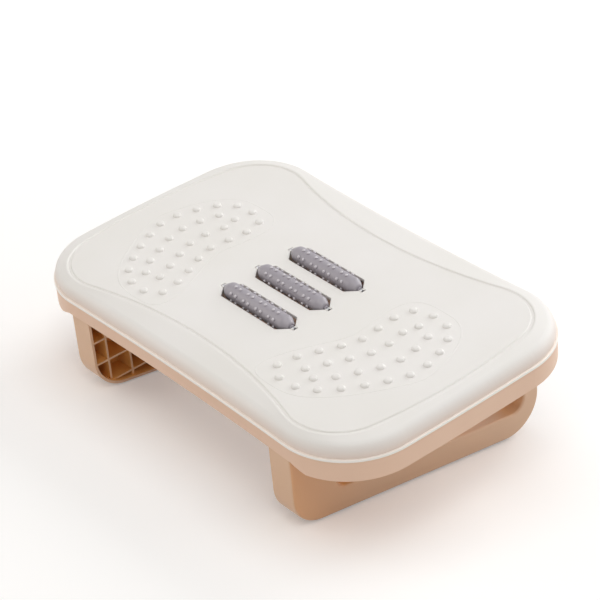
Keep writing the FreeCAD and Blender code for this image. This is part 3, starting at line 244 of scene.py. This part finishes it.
# %% Floor
FLOOR_HALF_SIZE = 6.0
FLOOR_GREY = 0.86
FLOOR_GLOW = (0.21, 1.0)
GLOW_REACH = (0.4, 1.7)

corners = FLOOR_HALF_SIZE * np.array([(-1, -1, 0), (1, -1, 0), (1, 1, 0), (-1, 1, 0)], float)
floor_mesh = bpy.data.meshes.new("floor")
floor_mesh.from_pydata(corners.tolist(), [], [(0, 1, 2, 3)])
floor = bpy.data.objects.new("floor", floor_mesh)
SCENE.collection.objects.link(floor)

paper_material = bpy.data.materials.new("floor_paper")
floor_mesh.materials.append(paper_material)
paper = NodeBoard(paper_material)
sheet = paper.add("BsdfDiffuse", {"Color": (FLOOR_GREY, FLOOR_GREY, FLOOR_GREY, 1)})
floor_place = paper.add("TexCoord", {}).outputs["Object"]
away = paper.work_out_vector("LENGTH", "Value", floor_place)
brightness = paper.levels(away, *GLOW_REACH, *FLOOR_GLOW, curve="SMOOTHSTEP")
glow = paper.add("Emission", {"Strength": paper.work_out("MULTIPLY", paper.seen_rays(), brightness)})
both = paper.add("AddShader", {0: sheet.outputs[0], 1: glow.outputs[0]})
paper.add("OutputMaterial", {"Surface": both.outputs[0]})
print("floor:", 2 * FLOOR_HALF_SIZE, "m square")


# %% [markdown]
# ## Finishes
# A finish could be painted on an image and wrapped round the part. Here each one is worked out by
# nodes from Object coordinates instead, so it is sharp at any distance and needs no unwrapping, and
# it stays on the part as the part moves. Colours are written as a picture shows them, from 0 to
# 255, and turned into the linear values that a shader calculates with.

# %% Colours
def srgb(red, green, blue):
    """An sRGB colour of 0 to 255 as the linear colour that a shader takes. The bare numbers are the
    sRGB standard's own: a straight start, then a power of 2.4."""
    shares = np.array([red, green, blue]) / 255
    linear = np.where(shares <= 0.04045, shares / 12.92, ((shares + 0.055) / 1.055) ** 2.4)
    return (*linear.tolist(), 1.0)


print("middle grey for a shader:", [round(share, 3) for share in srgb(128, 128, 128)])


# %% [markdown]
# A finish is a board of nodes that ends in one Principled shader. Its base colour is kept by name,
# so that a later cell can mix another colour over it. A CAD part gets a finish by having it put in
# each of its material slots, which leaves the part's shape alone.

# %% Finish
class Finish(NodeBoard):
    """A material with one Principled shader, and short names for the nodes that feed it."""

    def __init__(self, name):
        self.material = bpy.data.materials.new(name)
        super().__init__(self.material)
        self.shader = self.add("BsdfPrincipled", {})
        self.add("OutputMaterial", {"Surface": self.shader.outputs[0]})
        self.place = self.add("TexCoord", {}).outputs["Object"]

    def give(self, socket, value):
        """Feed one of the shader's own inputs."""
        self.feed(self.shader.inputs[socket], value)

    def noise(self, scale, detail, stretch=(1, 1, 1)):
        """Noise of a given scale per metre and detail, stretched along the axes."""
        place = self.place
        if stretch != (1, 1, 1):
            place = self.add("Mapping", {"Vector": place, "Scale": stretch}).outputs["Vector"]
        return self.add("TexNoise", {"Vector": place, "Scale": scale, "Detail": detail}).outputs["Fac"]

    def mix(self, share, first, second):
        """Blend two colours, each a colour or another node's output, by a share of 0 to 1. A Mix
        node has its colours at inputs 6 and 7 and gives the blend at output 2."""
        return self.add("Mix", {"Factor": share, 6: first, 7: second}, data_type="RGBA").outputs[2]

    def paint(self, colour):
        """Give the shader this colour, and keep it for what is mixed over it later."""
        self.colour = colour
        self.give("Base Color", colour)

    def tint(self, share, colour):
        """Mix a colour over the finish's own by a share of 0 to 1."""
        self.paint(self.mix(share, self.colour, colour))

    def bump(self, height, strength, distance, under=None):
        """A bump node over an optional other one. Gives a normal."""
        feeds = {"Strength": strength, "Distance": distance, "Height": height}
        if under:
            feeds["Normal"] = under
        return self.add("Bump", feeds).outputs["Normal"]


def dress(finish, *names):
    """Give CAD nodes this finish in every slot, or in a first one."""
    for name in names:
        mesh = NODES[name].data
        if not mesh.materials:
            mesh.materials.append(finish.material)
        for slot in range(len(mesh.materials)):
            mesh.materials[slot] = finish.material
    print(finish.material.name, "on", ", ".join(names))


# %% [markdown]
# ## Moulded plastic
# Most of the footrest is polypropylene from a mould. Its finish has four layers: a slow drift of
# colour from the flow of the melt, a roughness that wanders a little, a wide and very shallow
# waviness from shrinking, which breaks up the reflections, and a fine grain etched into the mould.
# Each layer is faint, because a strong one would read as dirt.

# %% Moulded plastic
# A noise is a scale per metre and a detail, a relief is a strength and a depth.
DRIFT_NOISE = (9, 3)
CLOUD_NOISE = (60, 4)
WAVE_NOISE = (14, 2)
WAVE_RELIEF = (0.25, 0.0004)
ETCHED_NOISE = (2600, 3)
ETCHED_RELIEF = (0.35, 0.00003)
NOISE_RANGE = (0.3, 0.7)
ROUGHNESS_WANDER = 0.05


def moulded_plastic(name, colour, shade, roughness):
    """Moulded plastic: slow colour drift, wandering roughness, and etched grain over waviness."""
    finish = Finish(name)
    drift = finish.levels(finish.noise(*DRIFT_NOISE), *NOISE_RANGE)
    finish.paint(finish.mix(drift, colour, shade))
    least, most = roughness - ROUGHNESS_WANDER, roughness + ROUGHNESS_WANDER
    finish.give("Roughness", finish.levels(finish.noise(*CLOUD_NOISE), *NOISE_RANGE, least, most))
    waviness = finish.bump(finish.noise(*WAVE_NOISE), *WAVE_RELIEF)
    finish.give("Normal", finish.bump(finish.noise(*ETCHED_NOISE), *ETCHED_RELIEF, under=waviness))
    return finish


tray_finish = moulded_plastic("tan_tray", srgb(241, 206, 181), srgb(236, 200, 174), roughness=0.42)
dress(tray_finish, "tray")
inner_finish = moulded_plastic("inner_tan", srgb(196, 158, 128), srgb(187, 149, 118), roughness=0.5)
dress(inner_finish, "left_pivot_cap", "right_pivot_cap")
bush_finish = moulded_plastic("nylon_bush", srgb(226, 222, 210), srgb(218, 213, 200), roughness=0.35)
dress(bush_finish, "left_pivot_bush", "right_pivot_bush", "left_friction_washer", "right_friction_washer")


# %% [markdown]
# ## Cover
# The cover is a warm off-white. Its lip carries a painted highlight, a bright line for the light
# that the lip catches, and the round shoulder above it carries a painted warm reflection of the tan
# rim. Both could be pieces of their own with their own material. They are parts of one moulding,
# though, so their colours are mixed over the cover's by the height over the seam, measured square
# to the panel.

# %% Cover
LIP_TOP = 0.0022
LIP_BLUR = 0.0003
LIP_HIGHLIGHT_COLOUR = srgb(253, 249, 243)
SHOULDER_LOW = 0.004
SHOULDER_HIGH = 0.014
SHOULDER_REFLECTION_COLOUR = srgb(239, 224, 214)


def height_over_seam(finish):
    """Height w of a point in the platform's frame: the dot product of its place and the platform's
    normal, less that of the seam's centre."""
    along_normal = finish.work_out_vector("DOT_PRODUCT", "Value", finish.place, PLATFORM_NORMAL)
    return finish.work_out("SUBTRACT", along_normal, CENTRE.dot(Vector(PLATFORM_NORMAL)))


cover_finish = moulded_plastic("cream_cover", srgb(237, 235, 233), srgb(233, 231, 227), roughness=0.46)
height = height_over_seam(cover_finish)
# Painted reflection: the shoulder is warmed as if lit by light bounced off the tan rim.
on_shoulder_reflection = cover_finish.levels(height, SHOULDER_LOW, SHOULDER_HIGH, 1.0, 0.0)
cover_finish.tint(on_shoulder_reflection, SHOULDER_REFLECTION_COLOUR)
# Painted highlight: a thin band at the lip is lightened for the light that the lip catches.
on_lip_highlight = cover_finish.levels(height, LIP_TOP - LIP_BLUR, LIP_TOP + LIP_BLUR, 1.0, 0.0)
cover_finish.tint(on_lip_highlight, LIP_HIGHLIGHT_COLOUR)
dress(cover_finish, "deck_cover", "left_roller_cradle", "right_roller_cradle")


# %% [markdown]
# ## Legs
# The legs are tan. The outer skin of each carries painted shade towards the front, a deeper tan
# where less light falls. The pockets between the ribs are so narrow that light bounces many times
# between tan walls, which a picture shows as amber. The renderer finds a part of that glow by
# itself. The rest is painted bounce light: an amber colour, mixed in by how closely the leg's own
# walls shut a point in, which an Ambient Occlusion node measures.

# %% Legs
SKIN_X = 0.1535
SKIN_BLUR = 0.0005
FRONT_Y = (-0.14, -0.05)
FRONT_SHADE_SHARE = 0.75
FRONT_SKIN_SHADE_COLOUR = srgb(226, 168, 118)
POCKET_REACH = 0.045
POCKET_OPEN = 0.95
POCKET_SHUT = 0.45
POCKET_SAMPLES = 8
POCKET_BOUNCE_COLOUR = srgb(238, 180, 104)


def front_skin_shade(finish):
    """Share of painted shade on the leg's outer skin, beyond SKIN_X on either side, times a share
    that falls from the front to the back."""
    place = finish.add("SeparateXYZ", {0: finish.place})
    from_middle = finish.work_out("ABSOLUTE", place.outputs["X"])
    on_skin = finish.levels(from_middle, SKIN_X - SKIN_BLUR, SKIN_X)
    near_front = finish.levels(place.outputs["Y"], *FRONT_Y, FRONT_SHADE_SHARE, 0.0)
    return finish.work_out("MULTIPLY", on_skin, near_front)


def shut_in(finish):
    """Share of 0 to 1 that rises where the part's own walls stand closer than POCKET_REACH."""
    walls = finish.add("AmbientOcclusion", {"Distance": POCKET_REACH}, samples=POCKET_SAMPLES,
                       only_local=True)
    return finish.levels(walls.outputs["AO"], POCKET_SHUT, POCKET_OPEN, 1.0, 0.0)


leg_finish = moulded_plastic("tan_leg", srgb(231, 194, 163), srgb(226, 188, 156), roughness=0.42)
# Painted shade: the outer skin is darkened towards the front, where less light falls.
leg_finish.tint(front_skin_shade(leg_finish), FRONT_SKIN_SHADE_COLOUR)
# Painted bounce light and shade: the pockets between the ribs turn amber where the walls shut them in.
leg_finish.tint(shut_in(leg_finish), POCKET_BOUNCE_COLOUR)
dress(leg_finish, "left_leg", "right_leg", "left_bolt_cover", "right_bolt_cover")


# %% [markdown]
# ## Rollers
# The rollers are a lilac grey, smoother than the cover, and their nubs carry a painted highlight,
# paler than the barrel, for the light that their tops catch. The nubs are part of the barrel's
# mesh, so this highlight is mixed in by the distance from the roller's axis. The axis is a different
# one for each roller, so each has a finish of its own.

# %% Rollers
BARREL_RADIUS = 0.0081
NUB_START = BARREL_RADIUS + 0.0003
NUB_FULL_HIGHLIGHT = BARREL_RADIUS + 0.0010
NUB_HIGHLIGHT_COLOUR = srgb(206, 202, 208)
ACROSS_AXIS = (0, 1, 1)


def from_axis(finish, point):
    """Distance of a place from a line along x through a point: the length of its offset in y and z."""
    offset = finish.work_out_vector("SUBTRACT", "Vector", finish.place, point)
    across = finish.work_out_vector("MULTIPLY", "Vector", offset, ACROSS_AXIS)
    return finish.work_out_vector("LENGTH", "Value", across)


for spin in ROLLER_SPINS:
    roller = spin["child"]
    roller_finish = moulded_plastic("lilac_grey_" + roller, srgb(164, 159, 167), srgb(155, 150, 158),
                                    roughness=0.34)
    # Painted highlight: the nub tops are lightened by their distance from the roller's axis.
    on_nub_highlight = roller_finish.levels(from_axis(roller_finish, spin["pos_m"]), NUB_START, NUB_FULL_HIGHLIGHT)
    roller_finish.tint(on_nub_highlight, NUB_HIGHLIGHT_COLOUR)
    dress(roller_finish, roller)


# %% [markdown]
# ## Steel
# Shafts, axles and screws are zinc-plated steel, which shows lines left by drawing or turning. Noise
# stretched fifty times along x gives streaks, and the same streaks drive colour, roughness and a
# faint relief, so that all three agree.

# %% Drawn steel
STREAK_NOISE = (900, 3)
STREAK_STRETCH = (0.02, 1, 1)
STREAK_RELIEF = (0.3, 0.00002)
STREAK_COLOUR_RANGE = (0.35, 0.65)
STEEL_ROUGHNESS = (0.26, 0.40)


def drawn_steel(name, colour, shade):
    """Bright steel with streaks along x."""
    finish = Finish(name)
    streaks = finish.noise(*STREAK_NOISE, stretch=STREAK_STRETCH)
    finish.paint(finish.mix(finish.levels(streaks, *STREAK_COLOUR_RANGE), colour, shade))
    finish.give("Roughness", finish.levels(streaks, *NOISE_RANGE, *STEEL_ROUGHNESS))
    finish.give("Normal", finish.bump(streaks, *STREAK_RELIEF))
    finish.give("Metallic", 1.0)
    return finish


steel_finish = drawn_steel("zinc_steel", srgb(196, 196, 198), srgb(170, 171, 175))
dress(steel_finish, "pivot_shaft", "left_pivot_bolt", "right_pivot_bolt", "cover_screws", "cradle_screws",
      "clamp_screws", "tie_screws", "front_roller_axle", "middle_roller_axle", "rear_roller_axle")


# %% [markdown]
# ## Powder coat and rubber
# The cross tie is steel under baked powder paint, which dries with a fine orange peel. The feet and
# the stop pads are soft dark rubber, dull and with a coarse grain. Both are one noise that drives
# colour and relief together, so one function makes them.

# %% Powder coat and rubber
def grained_coat(name, colour, shade, noise, relief, roughness, specular):
    """A plain coat whose one noise drives both its colour and its relief."""
    finish = Finish(name)
    grain = finish.noise(*noise)
    finish.paint(finish.mix(finish.levels(grain, *NOISE_RANGE), colour, shade))
    finish.give("Normal", finish.bump(grain, *relief))
    finish.give("Roughness", roughness)
    finish.give("Specular IOR Level", specular)
    return finish


tie_finish = grained_coat("brown_powder_coat", srgb(150, 112, 84), srgb(142, 104, 77),
                          noise=(700, 2), relief=(0.4, 0.00006), roughness=0.4, specular=0.5)
dress(tie_finish, "cross_tie")
rubber_finish = grained_coat("dark_rubber", srgb(62, 52, 46), srgb(48, 40, 36),
                             noise=(1500, 4), relief=(0.5, 0.00006), roughness=0.8, specular=0.3)
dress(rubber_finish, "left_front_foot", "right_front_foot", "left_rear_foot", "right_rear_foot",
      "front_stop_pads", "back_stop_pads")


# %% [markdown]
# ## Raised lines round the stud fields
# A faint raised line follows the sole of each foot round its studs. It could be a bevelled curve,
# but half of that would sink into the cover. So it is a low bead with a half-round section, carried
# along a bent oval that keeps a steady distance from the outer studs. The oval is a superellipse:
# its corners are squarer than those of an ellipse.

# %% Path round a stud field
FIELD_KNEE = (0.1428, -0.0159)
FIELD_TURN = 0.135
FIELD_SPREAD = 0.382
FIELD_SOFT = 0.011
FIELD_BACK = -0.0239
FIELD_SQUARENESS = 3.2
SOLE_HALF_LENGTH = 0.0855
SOLE_HALF_WIDTH = 0.0455
FINE_POINTS = 2000
PATH_POINTS = 260


def bent_oval(half_length, half_width, count):
    """x and v of a superellipse whose middle line is a hyperbola: two straight lines that
    lean by turn plus and minus spread, with a soft bend where they meet at the knee."""
    turn = np.linspace(0, 2 * math.pi, count, endpoint=False)
    power = 2 / FIELD_SQUARENESS
    across = half_width * np.sign(np.cos(turn)) * np.abs(np.cos(turn)) ** power
    v = FIELD_BACK + half_length * np.sign(np.sin(turn)) * np.abs(np.sin(turn)) ** power
    past_knee = v - FIELD_KNEE[1]
    x = FIELD_KNEE[0] + FIELD_TURN * past_knee - FIELD_SPREAD * np.hypot(past_knee, FIELD_SOFT) + across
    return x, v


def evenly(x, v, count):
    """The same closed path with points a steady distance apart."""
    x, v = np.append(x, x[0]), np.append(v, v[0])
    reach = np.concatenate([[0], np.cumsum(np.hypot(np.diff(x), np.diff(v)))])
    goals = np.linspace(0, reach[-1], count, endpoint=False)
    return np.interp(goals, reach, x), np.interp(goals, reach, v)


path_x, path_v = evenly(*bent_oval(SOLE_HALF_LENGTH, SOLE_HALF_WIDTH, FINE_POINTS), PATH_POINTS)
print("path:", len(path_x), "points")


# %% [markdown]
# The bead's points are a grid. One direction goes round the path, the other over the section, and
# every point is a path point plus a share of the sideways direction and of the height. numpy works
# out the whole grid at once, and the same grid numbered row by row gives the faces.

# %% Bead along the path
PANEL_TOP = 0.017
BEAD_HALF_WIDTH = 0.0007
BEAD_HEIGHT = 0.00016
BEAD_SIDES = 9


def bead(name, x, v, w):
    """A closed bead on the surface w: its section is the upper half of an ellipse and a flat
    underside. side is half width times cosine, rise is height times sine, over half a turn."""
    along = np.stack([np.roll(x, -1) - np.roll(x, 1), np.roll(v, -1) - np.roll(v, 1)], axis=-1)
    along /= np.linalg.norm(along, axis=-1, keepdims=True)
    arc = np.linspace(0, math.pi, BEAD_SIDES)
    side = BEAD_HALF_WIDTH * np.cos(arc)
    rise = BEAD_HEIGHT * np.sin(arc)
    grid_x = x[:, None] + along[:, 1, None] * side
    grid_v = v[:, None] - along[:, 0, None] * side
    points = on_platform(grid_x, grid_v, w + np.broadcast_to(rise, grid_x.shape)).reshape(-1, 3)

    ring, spoke = np.meshgrid(np.arange(len(x)), np.arange(BEAD_SIDES), indexing="ij")
    after_ring, after_spoke = (ring + 1) % len(x), (spoke + 1) % BEAD_SIDES
    faces = np.stack([ring * BEAD_SIDES + spoke, after_ring * BEAD_SIDES + spoke,
                      after_ring * BEAD_SIDES + after_spoke, ring * BEAD_SIDES + after_spoke], axis=-1)
    mesh = bpy.data.meshes.new(name)
    mesh.from_pydata(points.tolist(), [], faces.reshape(-1, 4).tolist())
    mesh.polygons.foreach_set("use_smooth", np.ones(len(mesh.polygons), bool))
    mesh.update()
    piece = bpy.data.objects.new(name, mesh)
    SCENE.collection.objects.link(piece)
    return piece


for side_name, mirror in (("left", -1), ("right", 1)):
    outline = bead("%s_sole_line" % side_name, mirror * path_x, path_v, PANEL_TOP)
    outline.data.materials.append(cover_finish.material)
    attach(outline, "platform")
    print(outline.name, "with", len(outline.data.polygons), "faces")


# %% [markdown]
# ## Sizes
# A finish mustn't change the object's size.
